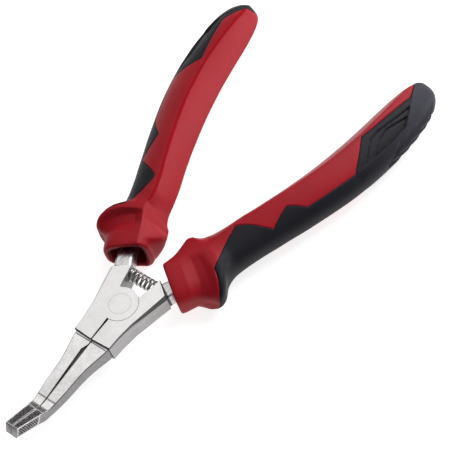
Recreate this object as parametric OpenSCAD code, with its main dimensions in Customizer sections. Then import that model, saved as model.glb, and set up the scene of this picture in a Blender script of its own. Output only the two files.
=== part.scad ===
// Reverse-action bent-nose pliers with two-colour grips.
// Millimetres, +Z up. The pivot axis is Z, the handles run to +Y and the bent tips to -Y.
// The back face of the head lies at Z = 0 and the tool lies flat.

/* [Head] */
// Thickness of the head
head_t = 9; // [8:0.1:10]
// Radius of the round lap boss
boss_r = 6.8; // [6:0.1:7.5]
// Gap round the boss
boss_gap = 0.2; // [0.1:0.05:0.4]
// Gap between the two lap faces
lap_gap = 0.1; // [0.05:0.05:0.3]
// Rivet diameter
pin_d = 6; // [4:0.5:7]
// Height of the blind end of the rivet above the back face
pin_z = 1; // [0.6:0.1:2]
// Radial running clearance of the rivet in the moving lever
pin_gap = 0.03; // [0.01:0.01:0.1]
// Half width of the slit between the levers below the boss
slit = 0.12; // [0.05:0.01:0.3]

/* [Jaws] */
// Depth of the shoulder step on the front of the jaws
shoulder = 0.9; // [0.4:0.1:1.5]
// Angle of the bent tip
bend_a = 27; // [20:1:45]
// Serrations on the front of each tip
teeth = 18; // [8:1:30]
// Depth of one serration
tooth_d = 0.25; // [0.1:0.05:0.4]
// Grooves in each direction of the tip knurl
knurl_n = 9; // [4:1:14]
// Depth of the knurl grooves
knurl_d = 0.22; // [0.1:0.02:0.4]

/* [Tangs] */
// Width of the tang where it leaves the head
tang_w = 6.6; // [5:0.1:8]
// Width of the tang at its far end
tang_end_w = 4.8; // [3:0.1:6]
// Thickness of the tang
tang_t = 6.6; // [5:0.1:8]

/* [Grips] */
// Scale of the grip thickness
grip_k = 1; // [0.85:0.01:1.15]
// Depth of the soft inlay
inlay_d = 1.6; // [1:0.1:2.2]
// Depth of the open collar round the tang
collar_depth = 5.5; // [3:0.5:8]
// Wall of the collar at its mouth
collar_wall = 2; // [1.5:0.1:3]

/* [Spring] */
// Mean coil radius
coil_r = 2.2; // [1.5:0.05:2.3]
// Wire diameter
wire_d = 0.9; // [0.6:0.05:1]
// Working turns
turns = 6; // [5:1:10]
// Depth of the blind pockets the ends sit in
pocket_d = 0.8; // [0.5:0.1:2]

/* [Hidden] */
$fn = 64;
mid = head_t / 2;
spring_y = 13;
steel = [0.78, 0.77, 0.76];
red = [0.68, 0.12, 0.16];
charcoal = [0.13, 0.13, 0.15];

// ---------------------------------------------------------------- levers

// outer edge of the head, from the shoulder to the step at the tang
head_out = [[8.3, -16.2], [8.6, -11], [9.5, -4.7], [11.5, 2.9], [13.4, 10.4]];
step_in = [6.6, 15.2];
crotch = [4.5, 5.8];

module head_plan() {
    polygon(concat([[slit, -16.5]], head_out, [step_in, crotch, [slit, 5.8]]));
}

// plan of one jaw: straight inner edge, or relieved between shoulder and bend
module jaw_plan(relief) {
    inner = relief > 0
        ? [[slit, -16], [slit, -18.6], [relief, -21], [slit, -42], [0.03, -61]]
        : [[slit, -16], [slit, -42], [0.03, -61]];
    polygon(concat(inner,
        [[2.5, -61], [3.6, -48], [4.2, -43], [4.8, -37], [5.1, -31], [5.6, -26.5], [7.7, -17.4], [7.8, -16]]));
}

// side view of one jaw: [y, z] with the serrated front of the bent tip
tip_l = 15;
tip_o = [-44.6, 6.9];
function tip_pt(s, h) = [tip_o[0] - s * cos(bend_a) + h * sin(bend_a), tip_o[1] + s * sin(bend_a) + h * cos(bend_a)];
tooth_s0 = 3.6;
tooth_p = (tip_l - 0.9 - tooth_s0) / teeth;
jaw_side = concat(
    [[-15.9, 2], [-15.9, head_t - shoulder], [-30, 7.6], [-43, 7], [-45.6, 7.2]],
    [for (i = [0:teeth - 1]) each [tip_pt(tooth_s0 + i * tooth_p, 0), tip_pt(tooth_s0 + (i + 0.55) * tooth_p, -tooth_d)]],
    [tip_pt(tip_l - 0.9, 0), tip_pt(tip_l, 0), tip_pt(tip_l, -4.4)],
    [tip_pt(5, -4.3), tip_pt(1.6, -4.5), [-40, 2.8], [-23, 2.6]]);

// crossed V grooves on the outer side of the tip
module knurl() {
    a = atan2(0.9, 14);
    for (d = [-1, 1], i = [0:knurl_n - 1])
        translate([0, tip_pt(6.2 + i * 0.95, -2.1)[0], tip_pt(6.2 + i * 0.95, -2.1)[1]])
            translate([2.98 - (i - 4) * 0.055, 0, 0])
                rotate([-bend_a, 0, 0]) rotate([0, 0, -a]) rotate([d * 38, 0, 0])
                    linear_extrude(height = 9, center = true)
                        polygon([[-knurl_d, 0], [0.6, -0.8], [0.6, 0.8]]);
}

module jaw(relief) {
    difference() {
        intersection() {
            translate([0, 0, -1]) linear_extrude(height = 20) jaw_plan(relief);
            rotate([90, 0, 90]) translate([0, 0, -1]) linear_extrude(height = 11) polygon(jaw_side);
        }
        knurl();
    }
}

// centre line of the tang
tang_c = [[9.4, 11.6], [12.1, 16.8], [18.3, 28], [20.4, 38], [23.4, 49], [28.6, 62], [33.2, 75], [35.6, 83]];
function unit(v) = v / norm(v);
function tang_dir(i) = unit(tang_c[min(i + 1, len(tang_c) - 1)] - tang_c[max(i - 1, 0)]);
function tang_half(i) = (tang_w + (tang_end_w - tang_w) * i / (len(tang_c) - 1)) / 2;
module tang_plan(g = 0) {
    n = len(tang_c) - 1;
    polygon(concat(
        [for (i = [0:n]) tang_c[i] + (tang_half(i) + g) * [tang_dir(i)[1], -tang_dir(i)[0]] + (i == n ? g * tang_dir(i) : [0, 0])],
        [for (i = [n:-1:0]) tang_c[i] - (tang_half(i) + g) * [tang_dir(i)[1], -tang_dir(i)[0]] + (i == n ? g * tang_dir(i) : [0, 0])]));
}
module tang(g = 0) {
    translate([0, 0, mid - tang_t / 2 - g]) linear_extrude(height = tang_t + 2 * g) tang_plan(g);
}

// flat chamfer along the edge a-b of the front face, ca wide at a and cb at b
module cut_edge(a, b, ca, cb) {
    d = unit(b - a);
    w = [-d[1], d[0]];
    p = [a[0] + ca * w[0], a[1] + ca * w[1], head_t];
    q = [b[0] + cb * w[0], b[1] + cb * w[1], head_t];
    e = unit(q - p);
    n = unit(cross(e, [b[0], b[1], head_t - cb] - p));
    u = n[2] > 0 ? n : -n;
    f = cross(u, e);
    multmatrix([[e[0], f[0], u[0], p[0]], [e[1], f[1], u[1], p[1]], [e[2], f[2], u[2], p[2]], [0, 0, 0, 1]])
        translate([-0.2, -6, 0]) cube([norm(q - p) + 0.4, 12, 5]);
}
// the front chamfer grows toward the tang, the back one runs the whole side
module edge_chamfer() {
    cut_edge(head_out[2], head_out[4], 0.15, 1.3);
    translate([0, 0, head_t]) mirror([0, 0, 1]) {
        cut_edge(head_out[0] - [0, 0.8], head_out[2], 1.6, 1.6);
        cut_edge(head_out[2], head_out[4] + [0.3, 1.2], 1.6, 1.6);
    }
}

// countersunk rivet, flush with the front and blind in the rear lever
module rivet_shape(g, over) {
    translate([0, 0, pin_z]) cylinder(d = pin_d + 2 * g, h = head_t - pin_z + over);
    translate([0, 0, head_t - 1.6]) cylinder(d1 = pin_d + 2 * g, d2 = pin_d + 2.4 + 2 * g, h = 1.6);
}
// boss_up: this lever owns the front half of the lap
module lever(boss_up, relief) {
    z0 = boss_up ? mid + lap_gap / 2 : 0;
    h = mid - lap_gap / 2;
    difference() {
        union() {
            difference() {
                linear_extrude(height = head_t) head_plan();
                translate([0, 0, boss_up ? -1 : mid - lap_gap / 2])
                    cylinder(r = boss_r + boss_gap, h = mid + lap_gap / 2 + 1);
            }
            translate([0, 0, z0]) cylinder(r = boss_r, h = h);
            jaw(relief);
            tang();
        }
        edge_chamfer();
        rivet_shape(boss_up ? pin_gap : 0, 1);
        translate([pocket_x(), spring_y, mid]) rotate([0, -90, 0]) cylinder(d = 2 * coil_r + wire_d + 0.3, h = 8);
    }
}
function face_x(y) = crotch[0] + (y - crotch[1]) * (step_in[0] - crotch[0]) / (step_in[1] - crotch[1]);
function pocket_x() = face_x(spring_y) + pocket_d;

module left_lever() { color(steel) mirror([1, 0, 0]) lever(true, 1.25); }
module right_lever() { color(steel) lever(false, 0); }
module pivot_rivet() { color(steel) rivet_shape(0, 0); }

// ---------------------------------------------------------------- spring

// helix with closed, flattened ends: s runs 0..1 along the wire
ring_n = 8;
seg_n = (turns + 2) * 14;
spring_l = 2 * pocket_x() - 0.1;
function coil_x(t) = // t in turns
    t < 1 ? t * wire_d * 1.02
    : t > turns + 1 ? spring_l - wire_d - (turns + 2 - t) * wire_d * 1.02
    : wire_d * 1.02 + (t - 1) / turns * (spring_l - wire_d - 2 * wire_d * 1.02);
function coil_pt(t, a) =
    let (r = coil_r + wire_d / 2 * cos(a), x = -spring_l / 2 + wire_d / 2 + coil_x(t) + wire_d / 2 * sin(a))
    [x, spring_y + r * sin(360 * t), mid + r * cos(360 * t)];
module return_spring() {
    n = seg_n;
    pts = [for (i = [0:n], j = [0:ring_n - 1]) coil_pt(i * (turns + 2) / n, 360 * j / ring_n)];
    side = [for (i = [0:n - 1], j = [0:ring_n - 1], k = [0, 1])
        let (a = i * ring_n + j, b = i * ring_n + (j + 1) % ring_n)
        k == 0 ? [a, b + ring_n, b] : [a, a + ring_n, b + ring_n]];
    color(steel) polyhedron(points = pts, faces = concat(side,
        [[for (j = [0:ring_n - 1]) j]], [[for (j = [ring_n - 1:-1:0]) n * ring_n + j]]));
}

// ---------------------------------------------------------------- grips

// stations of the right grip, from the mouth of the collar to the rounded end:
// centre x, y; axis angle from Y; outer and inner half width; half thickness;
// ridge offset; squareness; sweep of the front along the grip, the back goes the other way
ST = [
    [11.7, 16.8, 32, 8.8, 8.8, 8.2, -5.5, 3.4, 0],
    [12.8, 18.5, 32, 9, 9.4, 8.3, -5.6, 3.4, 0.5],
    [14.3, 21, 32, 9, 10.6, 8.2, -5.8, 3.3, 1.5],
    [15.9, 23.6, 32, 9.2, 12.8, 8.1, -6, 3.2, 3],
    [17.3, 25.8, 31, 11.2, 14.6, 8.2, -6, 3, 4.2],
    [18.3, 27.6, 30, 13.6, 14.4, 8.3, -6, 2.8, 4.8],
    [18.9, 29.4, 28, 12.8, 13.3, 8.3, -5.6, 2.7, 4.6],
    [19.3, 32, 26, 9.2, 11.9, 8.1, -5, 2.6, 3.8],
    [19.8, 36, 24, 7.7, 10.6, 8.2, -4.6, 2.5, 2.2],
    [20.7, 41, 22.5, 7.9, 10, 8.6, -4.2, 2.5, 1],
    [22.9, 48, 22, 8.3, 9.7, 8.9, -3.9, 2.5, 0.3],
    [25, 53, 22, 8.4, 9.7, 9.1, -3.7, 2.5, 0],
    [27, 58, 21.5, 8.5, 9.7, 9.3, -3.6, 2.5, 0],
    [29.4, 64, 21, 8.7, 9.9, 9.4, -3.5, 2.5, 0],
    [31.1, 68.5, 20, 8.8, 10.1, 9.4, -3.4, 2.5, 0],
    [33.4, 75, 18, 9, 10.3, 9.4, -3.3, 2.5, 0],
    [35.6, 82, 15.5, 9.3, 10.5, 9.4, -3.2, 2.5, 0],
    [37.2, 88, 13.5, 9.4, 10.6, 9.4, -3.2, 2.5, 0],
    [38.8, 95, 11.5, 9.4, 10.6, 9.4, -3.2, 2.5, 0],
    [40, 101.5, 9, 9.3, 10.6, 9.3, -3.2, 2.5, 0],
    [40.9, 108, 7, 9.2, 10.4, 9.2, -3.3, 2.5, 0],
    [41.6, 115, 5, 8.9, 10, 8.9, -3.3, 2.5, 0],
    [42.1, 122, 3, 8.2, 9.2, 8.4, -3.3, 2.5, 0],
    [42.3, 127, 2, 7.1, 8.1, 7.4, -3.1, 2.4, 0],
    [42.35, 130.5, 2, 5.6, 6.6, 6, -2.4, 2.3, 0],
    [42.4, 132.8, 2, 3.7, 4.6, 4.1, -1.6, 2.2, 0],
    [42.4, 134, 2, 1.6, 2, 1.8, -0.5, 2, 0]];
// edge of the soft inlay on the front: [station, offset from the centre line], straight between points
right_edge = [[5, 3.2], [6, 1.8], [7, 0.6], [8, -0.3], [9.5, -2.8], [11.5, 5.4], [12.5, 1.5], [14, 5.4], [17, 6],
              [18.5, -2.4], [20.5, -1.5], [22.5, -0.2], [24, -5.4], [25, -3.9], [26, -1.8]];
left_edge = [[5.5, 2.4], [6.5, 1.8], [8.5, 1.6], [10, -1.9], [11.5, 7], [13, 2.6], [14.5, 7.5], [17.5, 8.2],
             [19, -1], [22, 2.2], [23, -1], [24, -3], [25, -3.9], [26, -1.8]];
// station, after subdivision, where the inlay starts
right_first = 10;
left_first = 11;
sub = 2;
last = (len(ST) - 1) * sub;

// fall of the front toward the outer side: [station, share]
right_taper = [[0, 0.14], [2, 0.16], [3, 0.3], [3.8, 0.24], [4.8, 0.04], [6, 0.03], [8, 0.14], [12, 0.3]];
left_taper = [[0, 0.14], [2, 0.16], [3, 0.46], [4, 0.46], [4.5, 0.02], [6, 0.02], [8, 0.14], [12, 0.3]];
// the same for the back
BACK = [[8, 0.14], [12, 0.3]];
// lean of the inner flank at the flare, out at the front and in at the back: [station, share]
SKEW = [[1, 0], [3, 0.16], [5, 0.26], [7.5, 0.26], [9.5, 0]];
// move of the collar's inner crest toward the mouth: [station, extra half width]
CREST = [[1.2, 0], [2, 2.4], [2.5, 2.3], [3, 1.2], [4, -0.4], [5, -0.6], [6, -0.2], [7, 0.1], [8, 0]];
// how each grip sits on its tang: [slide along the tang, extra turn of the collar, share of the front sweep,
// share of the front lean, share of the crest move, station where the inner flank turns flat, over how many]
left_seat = [2, 0, 1, -0.45, 1, 1.5, 2];
right_seat = [-1.5, 3, 0.6, 1, 0, 5, 4];
$seat = right_seat;
$edge = right_edge;
$first = right_first;
$taper = right_taper;
function fade(k) = let (t = min(k / sub / 9, 1)) 1 - t * t * (3 - 2 * t);

// Catmull-Rom between stations, and the inlay edge as the last value
function cr(p, q, r, s, t) = 0.5 * (2 * q + (r - p) * t + (2 * p - 5 * q + 4 * r - s) * t * t + (3 * q - p - 3 * r + s) * t * t * t);
function row(k) =
    let (i = min(floor(k / sub), len(ST) - 2), t = k / sub - i, m = len(ST) - 1,
         c = cr(ST[max(i - 1, 0)], ST[i], ST[i + 1], ST[min(i + 2, m)], t), a = c[2] + $seat[1] * fade(k))
    concat([c[0] + $seat[0] * fade(k) * sin(a), c[1] + $seat[0] * fade(k) * cos(a), a],
           [for (j = [3:8]) j == 4 ? c[j] + $seat[4] * lookup(k / sub, CREST) : c[j]],
           [lookup(k / sub, $edge), lookup(k / sub, $taper), min(max(k / sub - $seat[5], 0) / $seat[6], 1), lookup(k / sub, SKEW), lookup(k / sub, BACK)]);

// point of the section at angle a: 0 outer side, 90 front ridge, 180 inner side
function sec(r, a) =
    let (e = 2 / r[7], cc = pow(abs(cos(a)), e), ss = pow(abs(sin(a)), e), outer = cos(a) >= 0, front = sin(a) >= 0,
         dip = !outer ? 0.2 * cc : front ? min(r[10], r[13]) * cc + max(r[10] - r[13], 0) * (min(cc / 0.2, 1) + cc) / 2 : r[13] * cc,
         flat = r[5] * pow(1 - pow(min(cc, 1), 1.1), 0.9), round = min(r[5] * ss * (1 - dip), r[5] - 0.25 * (r[4] + r[6]) * cc),
         up = outer ? r[5] * ss * (1 - dip) : r[11] * flat + (1 - r[11]) * round)
    [outer ? r[6] + (r[3] - r[6]) * cc : r[6] - (r[4] + r[6]) * cc * (1 + (front ? $seat[3] : -1) * r[12] * ss),
     (front ? 1 : -1) * grip_k * up,
     (front ? $seat[2] : -1) * r[8] * ss * ss * (1 + (outer ? 0.6 : -0.7) * cc)];
// angle of the inlay edge
function edge_a(r) =
    let (v = min(max(r[9], -r[4] * 0.86), r[3] * 0.9))
    v >= r[6] ? acos(pow((v - r[6]) / (r[3] - r[6]), r[7] / 2))
              : 180 - acos(pow((r[6] - v) / (r[4] + r[6]), r[7] / 2));
// section point to part frame
function place(r, p) =
    [r[0] + p[0] * cos(r[2]) + p[2] * sin(r[2]), r[1] - p[0] * sin(r[2]) + p[2] * cos(r[2]), mid + p[1]];
// the same point moved in by the inlay depth
function sink(r, p) =
    let (n = norm([p[0], p[1]]), d = min(inlay_d, 0.45 * n)) [p[0] * (n - d) / n, p[1] * (n - d) / n, p[2]];

arc_in = 20; // steps round the inlay
arc_out = 22; // steps round the bare body
lean = 4; // the edge of the sunk floor lies this many degrees inside the inlay edge
function floor_arc(r) = let (e = edge_a(r) - lean) [for (j = [0:arc_in]) sec(r, -e + 2 * e * j / arc_in)];
function body_arc(r) = let (e = edge_a(r)) [for (j = [1:arc_out - 1]) sec(r, e + (360 - 2 * e) * j / arc_out)];

// one ring of the body: inlay edge, floor (sunk or not), inlay edge, bare side
function body_ring(k, sunk) =
    let (r = row(k), e = edge_a(r)) [for (p = concat([sec(r, -e)],
        [for (q = floor_arc(r)) sunk ? sink(r, q) : q], [sec(r, e)], body_arc(r))) place(r, p)];
// one ring of the inlay: skin out and floor back
function inlay_ring(k, kf) =
    let (r = row(k), f = row(kf), e = edge_a(r), in = floor_arc(f)) concat(
        [for (p = concat([sec(r, -e)], floor_arc(r), [sec(r, e)])) place(r, p)],
        [for (j = [arc_in:-1:0]) place(f, sink(f, in[j]))]);

// side faces of rings of m points; the quads from point turn on are split the other way
function sides(n, m, turn) = [for (i = [0:n - 1], j = [0:m - 1], k = [0, 1])
    let (a = i * m + j, b = i * m + (j + 1) % m)
    j < turn ? (k == 0 ? [a, b, b + m] : [a, b + m, a + m]) : (k == 0 ? [a, b, a + m] : [b, b + m, a + m])];
// closed skin with a fan at each end
function mean(ps, i = 0) = i == len(ps) - 1 ? ps[i] : ps[i] + mean(ps, i + 1);
module skin(rings) {
    m = len(rings[0]);
    n = len(rings) - 1;
    polyhedron(points = concat([for (r = rings) each r], [mean(rings[0]) / m, mean(rings[n]) / m]),
        faces = concat(sides(n, m, m),
            [for (j = [0:m - 1]) [(j + 1) % m, j, (n + 1) * m]],
            [for (j = [0:m - 1]) [n * m + j, n * m + (j + 1) % m, (n + 1) * m + 1]]));
}
// closed skin whose ends are strips between the outer and the floor points
function strip(o, m, f) = [for (j = [0:arc_in - 1], k = [0, 1])
    let (a = o + 1 + j, b = o + m - 1 - j, t = k == 0 ? [a, b, b - 1] : [a, b - 1, a + 1]) f ? [t[0], t[2], t[1]] : t];
module thin_skin(rings) {
    m = len(rings[0]);
    n = len(rings) - 1;
    polyhedron(points = [for (r = rings) each r], faces = concat(sides(n, m, arc_in + 2),
        strip(0, m, false), [[1, 0, m - 1], [arc_in + 2, arc_in + 1, arc_in + 3]],
        strip(n * m, m, true), [[n * m, n * m + 1, n * m + m - 1], [n * m + arc_in + 1, n * m + arc_in + 2, n * m + arc_in + 3]]));
}

// outline of the open collar round the tang
module collar_bore() {
    r = row(0);
    translate([r[0], r[1], mid]) rotate([0, 0, -r[2]]) rotate([-90, 0, 0])
        translate([0, 0, -1]) linear_extrude(height = collar_depth + 1)
            polygon([for (a = [0:15:345])
                [(8.8 - collar_wall) * (cos(a) < 0 ? -1 : 1) * pow(abs(cos(a)), 0.65),
                 (8.2 - collar_wall) * (sin(a) < 0 ? -1 : 1) * pow(abs(sin(a)), 0.65)]]);
}

function step_k() = $first + 0.1;
module grip_body() {
    difference() {
        skin([for (k = concat([for (i = [0:$first]) i], [step_k()], [for (i = [$first + 1:last]) i]))
            body_ring(k, k > $first)]);
        collar_bore();
        tang();
    }
}
module grip_inlay() {
    thin_skin([for (k = [$first:last]) inlay_ring(k, max(k, step_k()))]);
}

module left_grip_body() { color(red) mirror([1, 0, 0]) grip_body($seat = left_seat, $edge = left_edge, $first = left_first, $taper = left_taper); }
module right_grip_body() { color(red) grip_body(); }
module left_grip_inlay() { color(charcoal) mirror([1, 0, 0]) grip_inlay($seat = left_seat, $edge = left_edge, $first = left_first, $taper = left_taper); }
module right_grip_inlay() { color(charcoal) grip_inlay(); }

left_lever();
right_lever();
pivot_rivet();
return_spring();
left_grip_body();
right_grip_body();
left_grip_inlay();
right_grip_inlay();
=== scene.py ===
"""Looks for the reverse-action bent-nose pliers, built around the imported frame.

Lengths below are millimetres in the part's frame and become metres when a mesh is made.
"""
import math

import bpy
import numpy as np
from mathutils import Matrix, Vector


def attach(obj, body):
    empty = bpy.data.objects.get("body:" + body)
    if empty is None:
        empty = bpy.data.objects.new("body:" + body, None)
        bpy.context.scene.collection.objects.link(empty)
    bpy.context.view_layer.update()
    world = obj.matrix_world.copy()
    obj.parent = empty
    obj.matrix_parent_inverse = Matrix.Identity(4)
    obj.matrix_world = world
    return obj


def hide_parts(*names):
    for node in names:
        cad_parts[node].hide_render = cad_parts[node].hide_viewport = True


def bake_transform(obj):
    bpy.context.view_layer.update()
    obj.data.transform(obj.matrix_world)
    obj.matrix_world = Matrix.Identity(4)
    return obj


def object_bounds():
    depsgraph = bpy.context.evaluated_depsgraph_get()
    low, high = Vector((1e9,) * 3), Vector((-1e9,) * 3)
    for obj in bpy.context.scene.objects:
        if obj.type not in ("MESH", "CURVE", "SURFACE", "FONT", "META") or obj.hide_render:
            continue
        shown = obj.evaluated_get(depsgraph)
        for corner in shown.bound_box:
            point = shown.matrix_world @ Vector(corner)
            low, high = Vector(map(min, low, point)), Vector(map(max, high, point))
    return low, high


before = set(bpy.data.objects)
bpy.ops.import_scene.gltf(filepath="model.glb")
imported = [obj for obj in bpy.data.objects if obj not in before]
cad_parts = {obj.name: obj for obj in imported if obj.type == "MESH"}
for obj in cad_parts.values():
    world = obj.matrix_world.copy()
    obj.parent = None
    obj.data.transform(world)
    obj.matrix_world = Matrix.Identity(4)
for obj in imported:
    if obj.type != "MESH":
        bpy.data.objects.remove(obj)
cad_lo, cad_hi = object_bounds()

MM = 0.001
MID = 4.5
HEAD_T = 9.0
SLIT = 0.12


# ------------------------------------------------------------------ mesh help
def smoothstep(a, b, x):
    t = np.clip((np.asarray(x, float) - a) / (b - a), 0, 1)
    return t * t * (3 - 2 * t)


def build(name, verts, faces, materials, index=None, sharp=35.0, mirror=False):
    """A mesh object from millimetre points. Faces are index tuples."""
    v = np.array(verts, float)
    if mirror:
        v = v * np.array([-1.0, 1.0, 1.0])
        faces = [tuple(reversed(f)) for f in faces]
    me = bpy.data.meshes.new(name)
    me.from_pydata((v * MM).tolist(), [], [tuple(int(i) for i in f) for f in faces])
    for m in materials:
        me.materials.append(m)
    if index is not None:
        me.polygons.foreach_set("material_index", np.asarray(index, np.int32))
    me.polygons.foreach_set("use_smooth", np.ones(len(me.polygons), bool))
    me.validate()
    me.update()
    if sharp:
        me.set_sharp_from_angle(angle=math.radians(sharp))
    ob = bpy.data.objects.new(name, me)
    bpy.context.scene.collection.objects.link(ob)
    return ob


class Soup:
    """Collects points and faces of several shells into one mesh."""

    def __init__(self):
        self.v, self.f, self.m = [], [], []

    def add(self, verts, faces, mat=0):
        o = len(self.v)
        self.v.extend(np.asarray(verts, float).tolist())
        self.f.extend(tuple(int(i) + o for i in f) for f in faces)
        mats = mat if hasattr(mat, "__len__") else [mat] * len(faces)
        self.m.extend(int(x) for x in mats)


def tube(rings, close=True, caps=(True, True)):
    """Points and quads of a loft through rings of equal length."""
    n, m = len(rings), len(rings[0])
    verts = np.concatenate([np.asarray(r, float) for r in rings])
    faces = []
    last = m if close else m - 1
    for i in range(n - 1):
        a = i * m
        for j in range(last):
            b = (j + 1) % m
            faces.append((a + j, a + b, a + m + b, a + m + j))
    if caps[0]:
        faces.append(tuple(range(m - 1, -1, -1)))
    if caps[1]:
        faces.append(tuple((n - 1) * m + j for j in range(m)))
    return verts, faces


# ------------------------------------------------------------------ materials
def new_material(name, colour, rough, metal=0.0):
    m = bpy.data.materials.new(name)
    m.use_nodes = True
    nt = m.node_tree
    p = nt.nodes["Principled BSDF"]
    p.inputs["Base Color"].default_value = (*colour, 1)
    p.inputs["Roughness"].default_value = rough
    p.inputs["Metallic"].default_value = metal
    return m, nt, p


def coords(nt, scale=(1, 1, 1)):
    tc = nt.nodes.new("ShaderNodeTexCoord")
    mp = nt.nodes.new("ShaderNodeMapping")
    mp.inputs["Scale"].default_value = scale
    nt.links.new(tc.outputs["Object"], mp.inputs["Vector"])
    return mp.outputs["Vector"]


def noise(nt, vec, scale, detail=3.0, rough=0.55):
    n = nt.nodes.new("ShaderNodeTexNoise")
    n.inputs["Scale"].default_value = scale
    n.inputs["Detail"].default_value = detail
    n.inputs["Roughness"].default_value = rough
    nt.links.new(vec, n.inputs["Vector"])
    return n.outputs["Fac"]


def ramp(nt, fac, stops):
    r = nt.nodes.new("ShaderNodeValToRGB")
    e = r.color_ramp.elements
    while len(e) < len(stops):
        e.new(0.5)
    for el, (pos, col) in zip(e, stops):
        el.position = pos
        el.color = (*col, 1) if len(col) == 3 else col
    nt.links.new(fac, r.inputs["Fac"])
    return r.outputs["Color"]


def spread(nt, fac, lo, hi, a=0.0, b=1.0):
    r = nt.nodes.new("ShaderNodeMapRange")
    r.inputs["From Min"].default_value = a
    r.inputs["From Max"].default_value = b
    r.inputs["To Min"].default_value = lo
    r.inputs["To Max"].default_value = hi
    nt.links.new(fac, r.inputs["Value"])
    return r.outputs["Result"]


def bump(nt, height, strength, distance, normal=None):
    b = nt.nodes.new("ShaderNodeBump")
    b.inputs["Strength"].default_value = strength
    b.inputs["Distance"].default_value = distance
    nt.links.new(height, b.inputs["Height"])
    if normal is not None:
        nt.links.new(normal, b.inputs["Normal"])
    return b.outputs["Normal"]


def steel(name, tone, rough, grain, grain_scale, stretch=(1, 1, 1), contrast=0.06):
    m, nt, p = new_material(name, (tone, tone * 0.972, tone * 0.97), rough, 1.0)
    vec = coords(nt, stretch)
    fine = noise(nt, vec, grain_scale, 4.0, 0.6)
    broad = noise(nt, coords(nt), 180.0, 3.0)
    lo, hi = tone * (1 - contrast), min(1.0, tone * (1 + contrast))
    colour = ramp(nt, fine, [(0.3, (lo, lo * 0.968, lo * 0.965)), (0.7, (hi, hi * 0.976, hi * 0.975))])
    nt.links.new(colour, p.inputs["Base Color"])
    nt.links.new(spread(nt, broad, rough - 0.05, rough + 0.05, 0.35, 0.65), p.inputs["Roughness"])
    nt.links.new(bump(nt, fine, grain, 0.0002), p.inputs["Normal"])
    return m


def plastic(name, colour, rough, grain, scale, vary=0.06, gloss=0.15):
    m, nt, p = new_material(name, colour, rough)
    p.inputs["Specular IOR Level"].default_value = gloss
    vec = coords(nt)
    fine = noise(nt, vec, scale, 2.0, 0.5)
    broad = noise(nt, vec, 60.0, 3.0, 0.5)
    a = tuple(c * (1 - vary) for c in colour)
    b = tuple(c * (1 + vary) for c in colour)
    nt.links.new(ramp(nt, broad, [(0.35, a), (0.65, b)]), p.inputs["Base Color"])
    nt.links.new(spread(nt, fine, rough - 0.05, rough + 0.05, 0.3, 0.7), p.inputs["Roughness"])
    nt.links.new(bump(nt, fine, grain, 0.0002), p.inputs["Normal"])
    return m


STEEL_HEAD = steel("steel_head", 0.82, 0.34, 0.10, 2600.0)
STEEL_JAW = steel("steel_jaw", 1.0, 0.34, 0.16, 1400.0, contrast=0.26)
# side steel: ground grain, darker than the front as painted shade, though it is the same metal
STEEL_SIDE_SHADED = steel("steel_side_shaded", 0.36, 0.34, 0.18, 900.0, (0.15, 0.15, 1), 0.16)
# flank steel: a still darker copy of the same metal, painted shade for the jaw sides, the crotch wall and the tip's end
# face
STEEL_FLANK_SHADED = steel("steel_flank_shaded", 0.25, 0.36, 0.25, 1200.0, contrast=0.2)
STEEL_TANG = steel("steel_tang", 0.62, 0.30, 0.3, 1500.0, (1, 0.12, 1), 0.3)
STEEL_TEETH = steel("steel_teeth", 0.24, 0.42, 0.7, 1500.0, contrast=0.85)
STEEL_KNURL = steel("steel_knurl", 0.36, 0.34, 0.15, 2200.0)
STEEL_SHADE = steel("steel_shade", 0.10, 0.45, 0.3, 1500.0, contrast=0.3)
SPRING = steel("spring_wire", 0.46, 0.22, 0.08, 2500.0)
RED = plastic("red_grip", (0.33, 0.006, 0.014), 0.44, 0.14, 3200.0, 0.05, 0.18)
# painted shade: a darker red band along the left grip's ridge crease
RED_CREASE_SHADE = plastic("red_crease_shade", (0.29, 0.004, 0.010), 0.55, 0.14, 3200.0, 0.05, 0.03)
# painted shade: darker red inside the collar's bore, the same plastic as the grip
RED_BORE_SHADE = plastic("red_bore_shade", (0.12, 0.002, 0.005), 0.55, 0.14, 3200.0, 0.05, 0.08)
DARK = plastic("soft_inlay", (0.0082, 0.0082, 0.0125), 0.50, 0.20, 3600.0, 0.12, 0.18)

# painted sheen on the right handle's end, lighter toward the end
DARK_END_SHEEN = plastic("soft_end_sheen", (0.0082, 0.0082, 0.0125), 0.50, 0.20, 3600.0, 0.12, 0.18)


def fade_to_end(m, near, far):
    """Colour that lightens along the handle toward the end: a painted sheen where the end faces the light."""
    nt = m.node_tree
    sep = nt.nodes.new("ShaderNodeSeparateXYZ")
    nt.links.new(coords(nt), sep.inputs["Vector"])
    nt.links.new(ramp(nt, sep.outputs["Y"], [(0.092, near), (0.126, far)]), nt.nodes["Principled BSDF"].inputs["Base Color"])


fade_to_end(DARK_END_SHEEN, (0.0082, 0.0082, 0.0125), (0.030, 0.029, 0.041))


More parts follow.
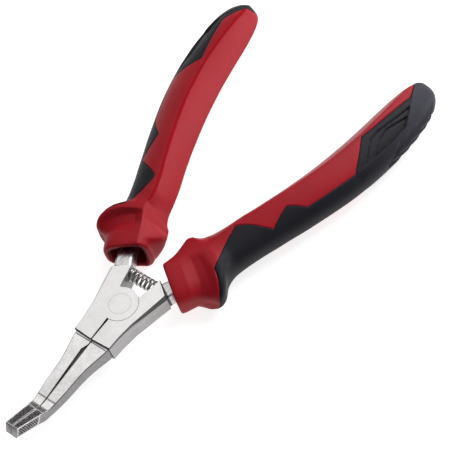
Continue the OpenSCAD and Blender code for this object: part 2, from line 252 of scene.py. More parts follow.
# ------------------------------------------------------------------ grips
# centre x, y; axis angle from Y; outer and inner half width; half thickness;
# ridge offset; squareness; sweep of the front and back (as in the solid model)
ST = np.array([
    [11.7, 16.8, 32, 8.8, 8.8, 8.2, -5.5, 3.4, 0],
    [12.8, 18.5, 32, 9, 9.4, 8.3, -5.6, 3.4, 0.5],
    [14.3, 21, 32, 9, 10.6, 8.2, -5.8, 3.3, 1.5],
    [15.9, 23.6, 32, 9.2, 12.8, 8.1, -6, 3.2, 3],
    [17.3, 25.8, 31, 11.2, 14.6, 8.2, -6, 3, 4.2],
    [18.3, 27.6, 30, 13.6, 14.4, 8.3, -6, 2.8, 4.8],
    [18.9, 29.4, 28, 12.8, 13.3, 8.3, -5.6, 2.7, 4.6],
    [19.3, 32, 26, 9.2, 11.9, 8.1, -5, 2.6, 3.8],
    [19.8, 36, 24, 7.7, 10.6, 8.2, -4.6, 2.5, 2.2],
    [20.7, 41, 22.5, 7.9, 10, 8.6, -4.2, 2.5, 1],
    [22.9, 48, 22, 8.3, 9.7, 8.9, -3.9, 2.5, 0.3],
    [25, 53, 22, 8.4, 9.7, 9.1, -3.7, 2.5, 0],
    [27, 58, 21.5, 8.5, 9.7, 9.3, -3.6, 2.5, 0],
    [29.4, 64, 21, 8.7, 9.9, 9.4, -3.5, 2.5, 0],
    [31.1, 68.5, 20, 8.8, 10.1, 9.4, -3.4, 2.5, 0],
    [33.4, 75, 18, 9, 10.3, 9.4, -3.3, 2.5, 0],
    [35.6, 82, 15.5, 9.3, 10.5, 9.4, -3.2, 2.5, 0],
    [37.2, 88, 13.5, 9.4, 10.6, 9.4, -3.2, 2.5, 0],
    [38.8, 95, 11.5, 9.4, 10.6, 9.4, -3.2, 2.5, 0],
    [40, 101.5, 9, 9.3, 10.6, 9.3, -3.2, 2.5, 0],
    [40.9, 108, 7, 9.2, 10.4, 9.2, -3.3, 2.5, 0],
    [41.6, 115, 5, 8.9, 10, 8.9, -3.3, 2.5, 0],
    [42.1, 122, 3, 8.2, 9.2, 8.4, -3.3, 2.5, 0],
    [42.3, 127, 2, 7.1, 8.1, 7.4, -3.1, 2.4, 0],
    [42.35, 130.5, 2, 5.6, 6.6, 6, -2.4, 2.3, 0],
    [42.4, 132.8, 2, 3.7, 4.6, 4.1, -1.6, 2.2, 0],
    [42.4, 134, 2, 1.6, 2, 1.8, -0.5, 2, 0]], float)
# edge of the soft inlay on the front: station, offset from the centre line
EDGES = {
    "right": np.array([[4.9, 3.2], [5.9, 1.9], [7.1, 0.55], [8.2, -0.45], [9, -1.5], [9.38, -2.8], [9.5, -2.6], [11.3, 5.4], [12.65, 1.5], [12.75, 1.5],
                       [13.9, 5.4], [15.45, 5.7], [16.95, 6.1], [18.55, -2.4], [18.65, -2.4], [20.4, -1.5], [22.25, -0.1], [23.75, -2.9], [24.2, -5.4], [25, -3.9], [26, -1.8]], float),
    "left": np.array([[5.5, 2.4], [6.5, 1.8], [8.3, 1.9], [9.1, 0.2], [9.75, -1.9], [9.9, -1.8], [11.5, 7.0], [13.2, 2.65], [13.3, 2.65], [14.6, 7.5],
                      [17.45, 8.2], [18.8, -1.0], [18.9, -1.0], [21.85, 2.3], [23.2, -1.4], [23.8, -2.6], [24.4, -4.4], [24.8, -4.7], [25.2, -3.9], [26, -1.8]], float)}
FIRSTS = {"right": 4.9, "left": 5.5}
# lines of the stepped pad near the end, in the same two coordinates
WRAP = np.array([[17, 6.2], [18.3, 5.9], [19.5, 5.9], [20.65, 5.85], [21.35, 3.5], [22.4, 0], [24.2, -4], [26, -9]])
STEP1 = np.array([[17.5, 6.6], [18.75, 0.6], [19.45, 0.1], [21.6, 2.1], [22.3, 3.0]])
STEP2 = np.array([[18.2, 6.6], [19.25, 2.6], [19.95, 1.8], [21.25, 4.0], [22, 5.2]])
PAD_SHIFT = {"right": (0.0, 0.0), "left": (0.3, 2.6)}
RIBS = [18.6, 19.4, 20.2, 21.04, 21.8]
# fall of the front toward the outer side: station, share
TAPERS = {"right": np.array([[0, 0.14], [2, 0.16], [3, 0.3], [3.8, 0.24], [4.8, 0.04], [6, 0.03], [8, 0.14], [12, 0.3]], float),
          "left": np.array([[0, 0.14], [2, 0.16], [3, 0.48], [4, 0.48], [4.5, 0.02], [6, 0.02], [8, 0.14], [12, 0.3]], float)}
# lean of the inner flank at the flare: station, share
SKEW = np.array([[1, 0], [3, 0.16], [5, 0.26], [7.5, 0.26], [9.5, 0]], float)
# how a grip sits on its tang: slide along it, extra turn of the collar, share of the front sweep, share of the front lean
SEATS = {"left": (2.0, 0.0, 1.0, -0.45), "right": (-1.5, 3.0, 0.6, 1.0)}
# move of the left collar's inner crest toward the mouth: station, extra half width
CREST = np.array([[1.2, 0], [2, 2.4], [2.5, 2.3], [3, 1.2], [4, -0.4], [5, -0.6], [6, -0.2], [7, 0.1], [8, 0]], float)
# where the inner flank turns flat: first station, over how many
FLATS = {"left": (1.5, 2.0), "right": (5.0, 4.0)}
now = {"side": "right"}


def row(k):
    n = len(ST) - 1
    i = min(int(math.floor(k)), n - 1)
    t = k - i
    p, q, r, s = ST[max(i - 1, 0)], ST[i], ST[i + 1], ST[min(i + 2, n)]
    c = 0.5 * (2 * q + (r - p) * t + (2 * p - 5 * q + 4 * r - s) * t * t + (3 * q - p - 3 * r + s) * t ** 3)
    fade = 1 - float(smoothstep(0, 9, k))
    slide, turn = SEATS[now["side"]][:2]
    taper = TAPERS[now["side"]]
    if now["side"] == "left":
        c[4] += np.mean([np.interp(k + d, CREST[:, 0], CREST[:, 1]) for d in np.linspace(-0.4, 0.4, 9)])
    c[2] += turn * fade
    c[0] += slide * fade * math.sin(math.radians(c[2]))
    c[1] += slide * fade * math.cos(math.radians(c[2]))
    return np.append(c, [np.interp(k, taper[:, 0], taper[:, 1]), min(max(k - FLATS[now["side"]][0], 0) / FLATS[now["side"]][1], 1),
                         np.interp(k, SKEW[:, 0], SKEW[:, 1]), np.interp(k, (8, 12), (0.14, 0.3))])


def edge_v(k):
    e = EDGES[now["side"]]
    return float(np.interp(k, e[:, 0], e[:, 1]))


def section(r, a):
    """Section points at angles a (radians): across, up, along."""
    e = 2 / r[7]
    c, s = np.cos(a), np.sin(a)
    cc, ss = np.abs(c) ** e, np.abs(s) ** e
    outer, front = c >= 0, s >= 0
    x = np.where(outer, r[6] + (r[3] - r[6]) * cc, r[6] - (r[4] + r[6]) * cc * (1 + np.where(front, SEATS[now["side"]][3], -1.0) * r[11] * ss))
    recess = min(r[9], r[12]) * cc + max(r[9] - r[12], 0) * (np.minimum(cc / 0.2, 1) + cc) / 2
    dip = np.where(outer, np.where(front, recess, r[12] * cc), 0.2 * cc)
    flat = r[5] * (1 - np.minimum(cc, 1) ** 1.1) ** 0.9
    blunt = np.minimum(r[5] * ss * (1 - dip), r[5] - 0.25 * (r[4] + r[6]) * cc)
    y = np.where(outer, r[5] * ss * (1 - dip), r[10] * flat + (1 - r[10]) * blunt)
    sweep = np.where(front, SEATS[now["side"]][2], -1.0)
    return np.stack([x, np.where(front, y, -y), sweep * r[8] * ss * ss * (1 + np.where(outer, 0.6, -0.7) * cc)], -1)


def edge_angle(r, v):
    v = min(max(v, -r[4] * 0.93), r[3] * 0.9)
    if v >= r[6]:
        return math.acos(((v - r[6]) / (r[3] - r[6])) ** (r[7] / 2))
    return math.pi - math.acos(((r[6] - v) / (r[4] + r[6])) ** (r[7] / 2))


def place(r, p):
    a = math.radians(r[2])
    return np.stack([r[0] + p[:, 0] * math.cos(a) + p[:, 2] * math.sin(a),
                     r[1] - p[:, 0] * math.sin(a) + p[:, 2] * math.cos(a), MID + p[:, 1]], -1)


def arc(r, a0, a1, n, ends=0.0, ridge=0.0):
    """n points from angle a0 to a1 along the skin, denser at the ends and at the ridge; also normals, angles and distances."""
    fine = np.linspace(a0, a1, 1400)
    p = section(r, fine)
    ds = np.hypot(*np.diff(p[:, :2], axis=0).T)
    length = np.concatenate([[0], np.cumsum(ds)])
    far = np.minimum(length, length[-1] - length)
    dens = 1 + ends * np.exp(-(far / 0.7) ** 2) + ridge * np.exp(-((p[:, 0] - r[6]) / 0.8) ** 2)
    count = np.concatenate([[0], np.cumsum(ds * (dens[1:] + dens[:-1]) / 2)])
    a = np.interp(np.linspace(0, count[-1], n), count, fine)
    q = section(r, a)
    h = 1e-3
    t = section(r, a + h)[:, :2] - section(r, a - h)[:, :2]
    t /= np.maximum(np.linalg.norm(t, axis=1, keepdims=True), 1e-9)
    nrm = np.stack([t[:, 1], -t[:, 0]], -1)
    return q, nrm, a, np.interp(a, fine, length) if a1 > a0 else np.interp(-a, -fine, length), length[-1]


def station_list(k0, k1):
    """Stations from k0 to k1: about 0.45 mm apart, 0.25 mm on the pad, with the corners of the inlay edge."""
    ks = np.linspace(k0, k1, 4000)
    c = np.array([row(k)[:2] for k in ks])
    d = np.concatenate([[0], np.cumsum(np.linalg.norm(np.diff(c, axis=0), axis=1))])
    step = np.where(ks > 17, 0.26, 0.42)
    count = np.concatenate([[0], np.cumsum(np.diff(d) / step[1:])])
    out = np.interp(np.linspace(0, count[-1], int(count[-1]) + 2), count, ks)
    extra = [k for k in [*EDGES[now["side"]][:, 0], *TAPERS[now["side"]][:, 0], 4.25] if k0 < k < k1]
    out = np.unique(np.round(np.concatenate([out, extra]), 4))
    keep = [out[0]]
    for k in out[1:]:
        if k - keep[-1] > 0.012:
            keep.append(k)
    return keep


def pad_height(k, p, a):
    """Relief of the inlay: wrap, stepped pad and finger ribs."""
    v, h = p[:, 0], np.zeros(len(p))
    now["wrap"] = np.zeros(len(p), bool)
    dk, dv = PAD_SHIFT[now["side"]]
    if k > 17.0:
        def over(line, w=0.11):
            return smoothstep(-w, w, (v - np.interp(k - dk, line[:, 0], line[:, 1]) - dv) * 0.8)
        front = smoothstep(0.15, 0.5, np.abs(np.sin(a)))
        fade = smoothstep(17.0, 17.5, k)
        wrap = over(WRAP)
        s1 = over(STEP1) * float(smoothstep(17.5, 17.75, k - dk))
        s2 = over(STEP2) * float(smoothstep(18.2, 18.45, k - dk))
        line = sum(np.exp(-((v - np.interp(k - dk, s[:, 0], s[:, 1]) - dv) * 0.8 / 0.24) ** 2) * float(smoothstep(s[0, 0], s[0, 0] + 0.3, k - dk)) for s in (STEP1, STEP2))
        h -= 0.26 * front * fade * (1 - wrap) * line
        now["wrap"] = wrap * fade > 0.5
        h += front * fade * (0.14 * wrap + (1 - wrap) * (-0.06 - 0.5 * s1 - 0.5 * s2))
    if 17.6 < k < 24:
        deg = np.abs(np.degrees((a + np.pi) % (2 * np.pi) - np.pi))
        kk = k - 0.036 * deg
        amp = 1 - smoothstep(*((16, 38) if now["side"] == "right" else (3, 16)), deg)
        cut = np.zeros(len(p))
        for i, c in enumerate(RIBS):
            reach = RIBS[i + 1] - c if i + 1 < len(RIBS) else 0.8
            x = (kk - c) / reach
            cut = np.where((x > 0) & (x < 1), np.maximum(cut, smoothstep(0, 0.07, x) * np.clip(1 - x, 0, 1) ** 0.8), cut)
        h -= 1.0 * amp * cut
    return h


# groove along the ridge: depth, stations where it starts
CREASE = {"left": (0.38, 6.5, 9.0), "right": (0.1, 0.6, 2.5)}


def crease(r, p):
    """Fine groove along the ridge of the front and the back."""
    return -CREASE[now["side"]][0] * np.exp(-((p[:, 0] - r[6]) / 0.45) ** 2) * (np.abs(p[:, 1]) > 0.5 * r[5])


def seam(d, depth=0.24, width=0.26):
    return -depth * np.exp(-(np.asarray(d) / width) ** 2)


N_IN, N_FLOOR, N_BODY = 130, 64, 190


def body_ring(k, sunk, shift=0.0, inset=0.0):
    r = row(k)
    first = FIRSTS[now["side"]]
    e = edge_angle(r, edge_v(max(k, first)))
    lean = math.radians(3.0)
    f, fn, fa, _, _ = arc(r, -e + lean, e - lean, N_FLOOR)
    b, bn, ba, bd, bl = arc(r, e, 2 * math.pi - e, N_BODY, 2.5, 3.5)
    groove = crease(r, b) * float(smoothstep(*CREASE[now["side"]][1:], k) * (1 - smoothstep(22.5, 25, k)))
    b[:, :2] += bn * groove[:, None]
    # faces along the left crease are marked for the painted crease shade
    now["deep"] = np.concatenate([np.zeros(N_FLOOR, bool), (groove < -0.05) & (now["side"] == "left")])
    if sunk > 0:
        f = f.copy()
        f[:, :2] -= fn * np.minimum(1.5, 0.4 * np.linalg.norm(f[:, :2], axis=1, keepdims=True)) * sunk
        b[:, :2] += bn * seam(np.minimum(bd, bl - bd))[:, None]
    elif k > first - 0.6 and shift == 0:
        f[:, :2] += fn * (seam((first - k) * 2.6) * smoothstep(0, 0.2, e - np.abs(fa)))[:, None]
    if inset:
        f[:, :2] -= fn * inset
        b[:, :2] -= bn * inset
    f[:, 2] += shift
    b[:, 2] += shift
    return place(r, np.concatenate([f, b]))


def grip_body():
    first = FIRSTS[now["side"]]
    rings, deep = [], []
    floor = body_ring(0, 0, 5.6, 2.3)
    centre = floor.mean(0)
    rings.append(centre + (floor - centre) * 0.05)
    rings.append(centre + (floor - centre) * 0.6)
    for shift, inset in ((5.6, 3.1), (5.2, 2.85), (3.5, 2.7), (1.6, 2.6), (0.7, 2.45), (0.3, 2.15), (0.08, 1.75),
                         (0.0, 1.3), (0.0, 0.85), (0.08, 0.44), (0.25, 0.18), (0.5, 0.04)):
        rings.append(body_ring(0, 0, shift, inset))
    flat = np.zeros(len(floor), bool)
    deep += [flat] * len(rings)
    for k in station_list(0.45, first):
        rings.append(body_ring(k, 0))
        deep.append(now["deep"])
    rings.append(body_ring(first + 0.015, 1))
    deep.append(now["deep"])
    ks = [k for k in station_list(first, 26.0) if k > first + 0.03]
    for k in ks:
        rings.append(body_ring(k, 1))
        deep.append(now["deep"])
    last = rings[-1]
    for s, up in ((0.6, 0.28), (0.25, 0.36)):
        c = last.mean(0)
        rings.append(c + (last - c) * s + np.array([0.01, up * 0.3, 0]))
        deep.append(flat)
    verts, faces = tube(rings)
    m = len(rings[0])
    low = np.concatenate(deep)
    # index 1: painted shade on the faces of the bore rings; 2: painted shade along the left crease
    index = [1 if max(f) < 10 * m else 2 if low[list(f)].all() else 0 for f in faces]
    return verts, faces, index


def inlay_ring(k, depth=0.0):
    """depth pulls the skin in, to round the starting edge."""
    r = row(k)
    e = edge_angle(r, edge_v(k))
    s, sn, sa, sd, sl = arc(r, -e, e, N_IN, 2.5)
    h = pad_height(k, s, sa) + seam(np.minimum(sd, sl - sd)) + seam((k - FIRSTS[now["side"]]) * 2.6) - depth
    s = s.copy()
    s[:, :2] += sn * h[:, None]
    lean = math.radians(3.0)
    f, fn, _, _, _ = arc(r, e - lean, -e + lean, 40)
    f = f.copy()
    f[:, :2] -= fn * np.minimum(1.45, 0.38 * np.linalg.norm(f[:, :2], axis=1, keepdims=True))
    return place(r, np.concatenate([s, f]))


def grip_inlay():
    ks = station_list(FIRSTS[now["side"]] + 0.02, 26.0)
    rings, far = [inlay_ring(ks[0], 0.5)], [np.zeros(N_IN + 40, bool)]
    for k in ks:
        rings.append(inlay_ring(k))
        far.append(np.concatenate([now["wrap"], np.zeros(40, bool)]))
    far.append(far[0])
    last = rings[-1]
    c = last[:N_IN].mean(0)
    rings.append(c + (last - c) * 0.5 + np.array([0.01, 0.06, 0]))
    verts, faces = tube(rings)
    far = np.concatenate(far)
    # on the right grip the wrap faces at the end take the painted sheen
    return verts, faces, [1 if far[list(f)].any() and now["side"] == "right" else 0 for f in faces]


for side, flip in (("right", False), ("left", True)):
    now["side"] = side
    gv, gf, gm = grip_body()
    iv, inf, im = grip_inlay()
    body = build(f"{side}_grip", gv, gf, [RED, RED_BORE_SHADE, RED_CREASE_SHADE], gm, sharp=70, mirror=flip)
    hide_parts(f"{side}_grip_body")
    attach(body, f"{side}_half")
    inlay = build(f"{side}_inlay", iv, inf, [DARK, DARK_END_SHEEN], im, sharp=70, mirror=flip)
    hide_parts(f"{side}_grip_inlay")
    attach(inlay, f"{side}_half")


# ------------------------------------------------------------------ levers
HEAD_OUT = [(8.3, -16.2), (8.6, -11), (9.5, -4.7), (11.5, 2.9), (13.4, 10.4)]
STEP_IN = (6.6, 15.2)
CROTCH = (4.5, 5.8)


def prism(pts, widths, z0, z1, front=True):
    """A plate with its front (or back) edge chamfered; widths holds the chamfer beside each point as (edge before, edge after)."""
    p = np.array(pts, float)
    n = len(p)
    inset = np.zeros_like(p)
    drop = np.zeros(n)
    for i in range(n):
        a, b, c = p[i - 1], p[i], p[(i + 1) % n]
        d1, d2 = (b - a) / np.linalg.norm(b - a), (c - b) / np.linalg.norm(c - b)
        n1, n2 = np.array([-d1[1], d1[0]]), np.array([-d2[1], d2[0]])
        w1, w2 = widths[i]
        drop[i] = max(w1, w2)
        if abs(d1[0] * d2[1] - d1[1] * d2[0]) > 0.25:
            inset[i] = np.linalg.solve(np.array([n1, n2]), np.array([w1, w2]))
        else:
            mt = (n1 + n2) / (1 + n1 @ n2)
            inset[i] = mt * (w1 + w2) / 2
    z_cap, z_far, sgn = (z1, z0, -1) if front else (z0, z1, 1)
    rings = [np.column_stack([p, np.full(n, z_far)]),
             np.column_stack([p, z_cap + sgn * drop]),
             np.column_stack([p + inset, np.full(n, z_cap)])]
    verts, faces = tube(rings)
    if not front:
        faces = [tuple(reversed(f)) for f in faces]
    return verts, faces


def circle(r, a0, a1, n):
    return [(r * math.cos(math.radians(a)), r * math.sin(math.radians(a))) for a in np.linspace(a0, a1, n)]


def head_outline(own):
    """Outline of one lever's head layer: with the boss, or cut round it."""
    r = 6.88 if own else 6.96
    x0 = math.sqrt(r * r - CROTCH[1] ** 2)
    top = math.degrees(math.acos(x0 / r))
    low = math.degrees(math.asin(0.42 / r))
    pts = [(SLIT, -16.5), *HEAD_OUT, STEP_IN, CROTCH]
    w = [(0.15, 0.2), (0.3, 0.3), (0.42, 0.42), (0.6, 0.6), (0.95, 0.95), (1.3, 0.25), (0.25, 0.2), (0.2, 0.12)]
    ring = circle(r, top, 270 + low, 120) if own else circle(r, top, -90 + low, 80)
    pts += ring
    w += [(0.05, 0.05)] * len(ring)
    return pts, w


def plan_line(pts):
    y = np.array([p[1] for p in pts])
    x = np.array([p[0] for p in pts])
    o = np.argsort(y)
    return lambda q: np.interp(q, y[o], x[o])


OUTER_X = plan_line([(2.5, -61), (3.6, -48), (4.2, -43), (4.8, -37), (5.1, -31), (5.6, -26.5), (7.6, -17.4), (7.7, -16)])
BEND = math.radians(27)
TIP_O = np.array([-44.6, 6.9])
TIP_L = 15.0


def tip_pt(s, h):
    return TIP_O + s * np.array([-math.cos(BEND), math.sin(BEND)]) + h * np.array([math.sin(BEND), math.cos(BEND)])


def jaw(relief):
    """Loft of one jaw from inside the head to the square tip."""
    inner = [(SLIT, -16), (SLIT, -18.6), (SLIT, -42), (0.03, -61)]
    if relief:
        inner.insert(2, (relief, -21))
    inner_x = plan_line(inner)
    # matching front and back points along the side view, with the distance along the tip
    pairs = [((-15.5, 7.75), (-15.5, 2.0)), ((-16.9, 7.75), (-16.9, 2.1)), ((-17.3, 8.03), (-17.3, 2.15)), ((-23, 7.85), (-23, 2.6)), ((-30, 7.6), (-31, 2.7)), ((-40, 7.15), (-40.5, 2.8)),
             ((-43, 7.0), (-44.0, 3.05)), ((-44.4, 7.0), (-46.4, 3.4)), ((-45.6, 7.25), tip_pt(2.2, -4.45)),
             (tip_pt(3.6, 0), tip_pt(4.4, -4.35)), (tip_pt(TIP_L, 0), tip_pt(TIP_L, -4.4))]
    top = np.array([p[0] for p in pairs], float)
    low = np.array([p[1] for p in pairs], float)
    n_coarse = [5, 4, 14, 14, 26, 24, 6, 8, 12, 190]
    stations = []
    for i, n in enumerate(n_coarse):
        for t in np.linspace(0, 1, n, endpoint=False):
            stations.append((top[i] * (1 - t) + top[i + 1] * t, low[i] * (1 - t) + low[i + 1] * t))
    stations.append((top[-1], low[-1]))
    # round the end of the tip
    axis = np.array([-math.cos(BEND), math.sin(BEND)])
    n_top, n_out, n_low, n_in, n_c = 22, 44, 8, 10, 5
    pitch = (TIP_L - 0.9 - 3.6) / 18
    rings, marks = [], []
    for a, b in stations:
        s = float((a - TIP_O) @ axis)
        up = (a - b) / np.linalg.norm(a - b)
        height = np.linalg.norm(a - b)
        xi_t, xo_t, xi_b, xo_b = inner_x(a[0]), OUTER_X(a[0]), inner_x(b[0]), OUTER_X(b[0])
        rc_o, rc_i = 0.34, 0.16
        pts, knurl = [], np.zeros(n_out)

        def at(x_share, h):
            # x_share 0 inner, 1 outer; h from 0 bottom to height
            t = h / height
            xi, xo = xi_b + (xi_t - xi_b) * t, xo_b + (xo_t - xo_b) * t
            yz = b + up * h
            return np.array([xi + (xo - xi) * x_share, yz[0], yz[1]])

        wid = max(xo_t - xi_t, 0.5)

        def off(x, h, from_outer):
            p = at(1.0 if from_outer else 0.0, h)
            p[0] += -x if from_outer else x
            return p

        # top face from inner to outer
        teeth = 2.4 < s < TIP_L - 0.6
        cut = 0.16 * math.exp(-((a[0] + 42.4) / 0.22) ** 2)
        if teeth:
            ph = ((s - 3.6) / pitch) % 1.0
            cut = 0.36 * (1 - abs(2 * ph - 1)) * float(smoothstep(2.4, 4.6, s))
        for x in np.linspace(rc_i, wid - rc_o, n_top):
            share = (x - rc_i) / (wid - rc_o - rc_i)
            rim = smoothstep(0.0, 0.07, share) * (1 - smoothstep(0.95, 1.0, share)) if teeth else 1.0
            pts.append(off(x, height - cut * rim, False))
        for t in np.linspace(0, math.pi / 2, n_c + 2)[1:-1]:
            pts.append(off(rc_o * (1 - math.sin(t)), height - rc_o * (1 - math.cos(t)), True))
        # outer face from top to bottom, with the knurl
        for hi_, h in enumerate(np.linspace(height - rc_o, rc_o, n_out)):
            x = 0.0
            if 4.6 < s < TIP_L - 0.5:
                u, w = s / 0.98, (h - height / 2) / 1.2
                d1 = abs(((u + w) % 1.0) - 0.5) * 2
                d2 = abs(((u - w) % 1.0) - 0.5) * 2
                edge = smoothstep(4.6, 5.4, s) * (1 - smoothstep(TIP_L - 1.0, TIP_L - 0.5, s)) * smoothstep(0.0, 0.5, h - rc_o) * smoothstep(0.0, 0.5, height - rc_o - h)
                x = 0.38 * max(1 - d1 * 1.7, 1 - d2 * 1.7, 0.0) * float(edge)
                knurl[hi_] = 1 + x
            pts.append(off(x, h, True))
        for t in np.linspace(0, math.pi / 2, n_c + 2)[1:-1]:
            pts.append(off(rc_o * (1 - math.cos(t)), rc_o * (1 - math.sin(t)), True))
        for x in np.linspace(wid - rc_o, rc_i, n_low):
            pts.append(off(x, 0.0, False))
        for t in np.linspace(0, math.pi / 2, n_c + 2)[1:-1]:
            pts.append(off(rc_i * (1 - math.sin(t)), rc_i * (1 - math.cos(t)), False))
        for h in np.linspace(rc_i, height - rc_i, n_in):
            pts.append(off(0.0, h, False))
        for t in np.linspace(0, math.pi / 2, n_c + 2)[1:-1]:
            pts.append(off(rc_i * (1 - math.cos(t)), height - rc_i * (1 - math.sin(t)), False))
        rings.append(np.array(pts))
        marks.append(knurl)
    # small rounding at the end face
    end = rings[-1]
    c = end.mean(0)
    fwd = np.array([0, axis[0], axis[1]])
    for sh, sc in ((0.12, 0.985), (0.2, 0.955), (0.24, 0.92)):
        rings.append(c + (end - c) * sc + fwd * (sh - 0.24))
    m = len(rings[0])
    verts, faces = tube(rings)
    # material by face: 0 front, 1 side, 2 teeth, 3 knurl, 5 end face, 7 a darker band before the teeth; 6 is painted
    # shade in the knurl grooves and 8 a painted highlight on their rims
    mats = []
    n_st = len(rings)
    s_all = [float((a - TIP_O) @ axis) for a, b in stations] + [TIP_L] * 3
    o0 = n_top - 1
    o1 = n_top + n_c + n_out + n_c
    for i in range(n_st - 1):
        for j in range(m):
            s = s_all[i]
            if j < o0:
                mats.append(2 if 3.2 < s < TIP_L - 0.65 and 1 < j < o0 - 1 else 7 if 1.6 < s < 3.3 else 0)
            elif j < o1:
                jj = j - n_top - n_c
                deep = marks[i][jj] if i < len(marks) and 0 <= jj < n_out else 0
                # knurl grooves take painted shade, and their rims a painted highlight in the lighter tang steel
                mats.append(6 if deep > 1.1 else 8 if deep > 0 else 3 if s > 4.2 else 1)
            else:
                mats.append(1)
    mats += [1, 5]
    return verts, faces, mats


TANG_C = np.array([[9.4, 11.6], [12.1, 16.8], [18.3, 28], [20.4, 38], [23.4, 49], [28.6, 62], [33.2, 75], [35.6, 83]], float)


def tang():
    n = len(TANG_C) - 1
    rings = []
    for u in np.concatenate([np.linspace(0, 2, 40), np.linspace(2.2, n, 16)]):
        i = min(int(u), n - 1)
        t = u - i
        c = TANG_C[i] * (1 - t) + TANG_C[i + 1] * t
        d0 = TANG_C[min(i + 1, n)] - TANG_C[max(i - 1, 0)]
        d1 = TANG_C[min(i + 2, n)] - TANG_C[i]
        d = d0 / np.linalg.norm(d0) * (1 - t) + d1 / np.linalg.norm(d1) * t
        d /= np.linalg.norm(d)
        half = (6.6 + (4.8 - 6.6) * u / n) / 2
        hz, rc = 3.3, 0.9
        pts = []
        for cx, cz, a0 in ((1, 1, 0), (-1, 1, 90), (-1, -1, 180), (1, -1, 270)):
            for a in np.linspace(a0, a0 + 90, 6):
                x = cx * (half - rc) + rc * math.cos(math.radians(a))
                z = cz * (hz - rc) + rc * math.sin(math.radians(a))
                pts.append((c[0] + x * d[1], c[1] - x * d[0], MID + z))
        rings.append(np.array(pts)[::-1])
    return tube(rings)


def lever(side, own_front, relief):
    flip = side == "left"
    soup = Soup()
    for own in (True, False):
        pts, w = head_outline(own)
        front = own == own_front
        z0, z1 = (MID, HEAD_T) if front else (0.0, MID)
        if own:
            z0, z1 = (MID + 0.05, HEAD_T) if front else (0.0, MID - 0.05)
        else:
            z0, z1 = (MID - 0.05, HEAD_T) if front else (0.0, MID + 0.05)
        wf = w if front else [(1.6, 1.6) if 1 < i < 5 else (0.3, 1.6) if i == 1 else (1.6, 0.3) if i == 5 else (a, b) for i, (a, b) in enumerate(w)]
        v, f = prism(pts, wf, z0, z1, front)
        # side walls and chamfers take the ground finish in a darker tone: painted shade for the faces turned from the
        # light
        n = len(pts)
        mats = [1 if len(q) == 4 else 0 for q in f]
        # the shoulder step wall and its chamfer take painted shadow
        mats[0] = mats[n] = 6
        # the crotch wall takes the darker flank steel: painted shade
        mats[6] = mats[n + 6] = 5
        soup.add(v, f, mats)
    v, f, m = jaw(relief)
    # the jaw's sides and end faces take the darker flank steel as painted shade
    soup.add(v, f, [{0: 2, 1: 5, 2: 3, 3: 4, 5: 5, 6: 6, 7: 7, 8: 7}[x] for x in m])
    v, f = tang()
    # a band near the tang's root takes painted shadow, where the tang runs under the head's step
    soup.add(v, f, [6 if 2 * 24 <= min(q) < 6 * 24 else 7 for q in f])
    ob = build(f"{side}_lever_look", soup.v, soup.f, [STEEL_HEAD, STEEL_SIDE_SHADED, STEEL_JAW, STEEL_TEETH, STEEL_KNURL, STEEL_FLANK_SHADED, STEEL_SHADE, STEEL_TANG], soup.m, sharp=32, mirror=flip)
    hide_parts(f"{side}_lever")
    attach(ob, f"{side}_half")
    return ob


lever("right", False, 0)
lever("left", True, 1.25)

# rivet: a flush disc with a fine rim; the rim takes the darker side steel as a painted shade line
rings = []
for r, z in ((3.0, 1.0), (3.0, 7.4), (4.15, 8.7), (4.2, 8.98), (4.2, 9.01), (4.15, 9.012), (4.1, 9.006), (4.05, 9.012)):
    rings.append(np.array([(r * math.cos(a), r * math.sin(a), z) for a in np.linspace(0, 2 * math.pi, 96, endpoint=False)]))
v, f = tube(rings)
rivet = build("rivet", v, f, [STEEL_HEAD, STEEL_SIDE_SHADED], [1 if 3 * 96 <= i < 6 * 96 else 0 for i in range(len(f))], sharp=3)
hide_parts("pivot_rivet")
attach(rivet, "right_half")


# ------------------------------------------------------------------ spring
def spring():
    y0, r0, wire, turns = 13.0, 2.2, 0.9, 6
    face = CROTCH[0] + (y0 - CROTCH[1]) * (STEP_IN[0] - CROTCH[0]) / (STEP_IN[1] - CROTCH[1])
    length = 2 * (face + 0.8) - 0.1
    rings = []
    for t in np.linspace(0, turns + 2, (turns + 2) * 40 + 1):
        if t < 1:
            x = t * wire * 1.02
        elif t > turns + 1:
            x = length - wire - (turns + 2 - t) * wire * 1.02
        else:
            x = wire * 1.02 + (t - 1) / turns * (length - wire - 2 * wire * 1.02)
        x += -length / 2 + wire / 2
        ph = 2 * math.pi * t
        ring = []
        for a in np.linspace(0, 2 * math.pi, 12, endpoint=False):
            r = r0 + wire / 2 * math.cos(a)
            ring.append((x + wire / 2 * math.sin(a), y0 + r * math.sin(ph), MID + r * math.cos(ph)))
        rings.append(np.array(ring)[::-1])
    return tube(rings), length


(v, f), length = spring()
coil = build("coil", v, f, [SPRING], sharp=60)
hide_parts("return_spring")
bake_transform(coil)


# ------------------------------------------------------------------ stage
def stage_floor():
    z = cad_lo.z - 0.0002
    s = 3.0
    me = bpy.data.meshes.new("floor")
    me.from_pydata([(-s, -s, z), (s, -s, z), (s, s, z), (-s, s, z)], [], [(0, 1, 2, 3)])
    ob = bpy.data.objects.new("floor", me)
    bpy.context.scene.collection.objects.link(ob)
    m, nt, p = new_material("floor", (0.55, 0.55, 0.55), 0.9)
    p.inputs["Specular IOR Level"].default_value = 0.1
    p.inputs["Emission Color"].default_value = (1, 1, 1, 1)
    p.inputs["Emission Strength"].default_value = 0.78
    me.materials.append(m)


stage_floor()


def area(name, pos, target, size, power, colour=(1, 1, 1)):
    d = bpy.data.lights.new(name, "AREA")
    d.shape = "RECTANGLE"
    d.size, d.size_y = size
    d.energy = power
    d.color = colour
    ob = bpy.data.objects.new(name, d)
    ob.location = pos
    ob.rotation_mode = "QUATERNION"
    ob.rotation_quaternion = (Vector(target) - Vector(pos)).to_track_quat("-Z", "Y")
    bpy.context.scene.collection.objects.link(ob)


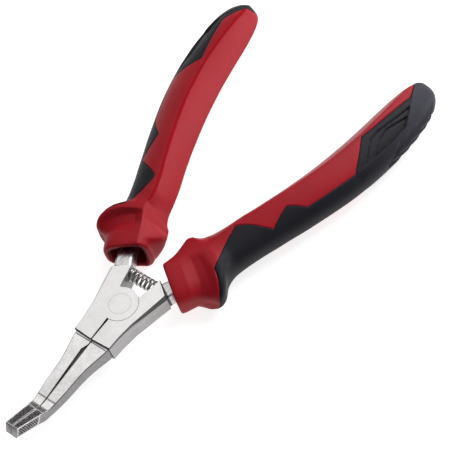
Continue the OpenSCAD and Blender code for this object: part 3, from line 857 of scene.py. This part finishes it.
area("key", (0.14, 0.40, 0.52), (0.03, 0.10, 0.0), (0.42, 0.36), 2.6)
area("panel", (-0.58, 0.36, 1.02), (0.0, 0.0, 0.0), (0.8, 0.95), 1.95)
area("side", (0.62, 0.68, 0.17), (-0.04, 0.11, 0.0), (0.4, 0.3), 2.9)
area("left", (-0.80, 0.22, 0.18), (-0.04, 0.10, 0.0), (0.4, 0.3), 0.25)
area("rim", (0.0, 0.84, 0.30), (0.03, 0.12, 0.0), (0.5, 0.3), 1.9)


def studio_world():
    """White overhead that falls to a dim horizon."""
    world = bpy.data.worlds.new("studio")
    bpy.context.scene.world = world
    world.use_nodes = True
    nt = world.node_tree
    tc = nt.nodes.new("ShaderNodeTexCoord")
    sep = nt.nodes.new("ShaderNodeSeparateXYZ")
    nt.links.new(tc.outputs["Generated"], sep.inputs["Vector"])
    col = ramp(nt, sep.outputs["Z"], [(0.15, (0.03, 0.03, 0.03)), (0.75, (0.26, 0.26, 0.26))])
    nt.links.new(col, nt.nodes["Background"].inputs["Color"])
    nt.nodes["Background"].inputs["Strength"].default_value = 1.0


studio_world()


# ------------------------------------------------------------------ camera
def camera():
    az, el, roll = (math.radians(a) for a in (54.68, 55.79, -21.07))
    n = np.array([math.sin(az) * math.cos(el), -math.cos(az) * math.cos(el), math.sin(el)])
    right = np.cross(-n, [0, 0, 1])
    right /= np.linalg.norm(right)
    up = np.cross(right, -n)
    r2 = math.cos(roll) * right + math.sin(roll) * up
    u2 = -math.sin(roll) * right + math.cos(roll) * up
    eye = (np.array([16.36, 45.07, 3.375]) + n * 551.0) * MM
    cam = bpy.data.cameras.new("camera")
    cam.sensor_width = 36
    cam.lens = 1520.0 / 475 * 36
    cam.clip_start, cam.clip_end = 0.01, 20
    ob = bpy.data.objects.new("camera", cam)
    bpy.context.scene.collection.objects.link(ob)
    m = Matrix.Identity(4)
    for i in range(3):
        m[i][0], m[i][1], m[i][2], m[i][3] = r2[i], u2[i], n[i], eye[i]
    ob.matrix_world = m
    bpy.context.scene.camera = ob


camera()
bpy.context.scene.view_settings.view_transform = "Standard"
bpy.context.scene.view_settings.look = "None"
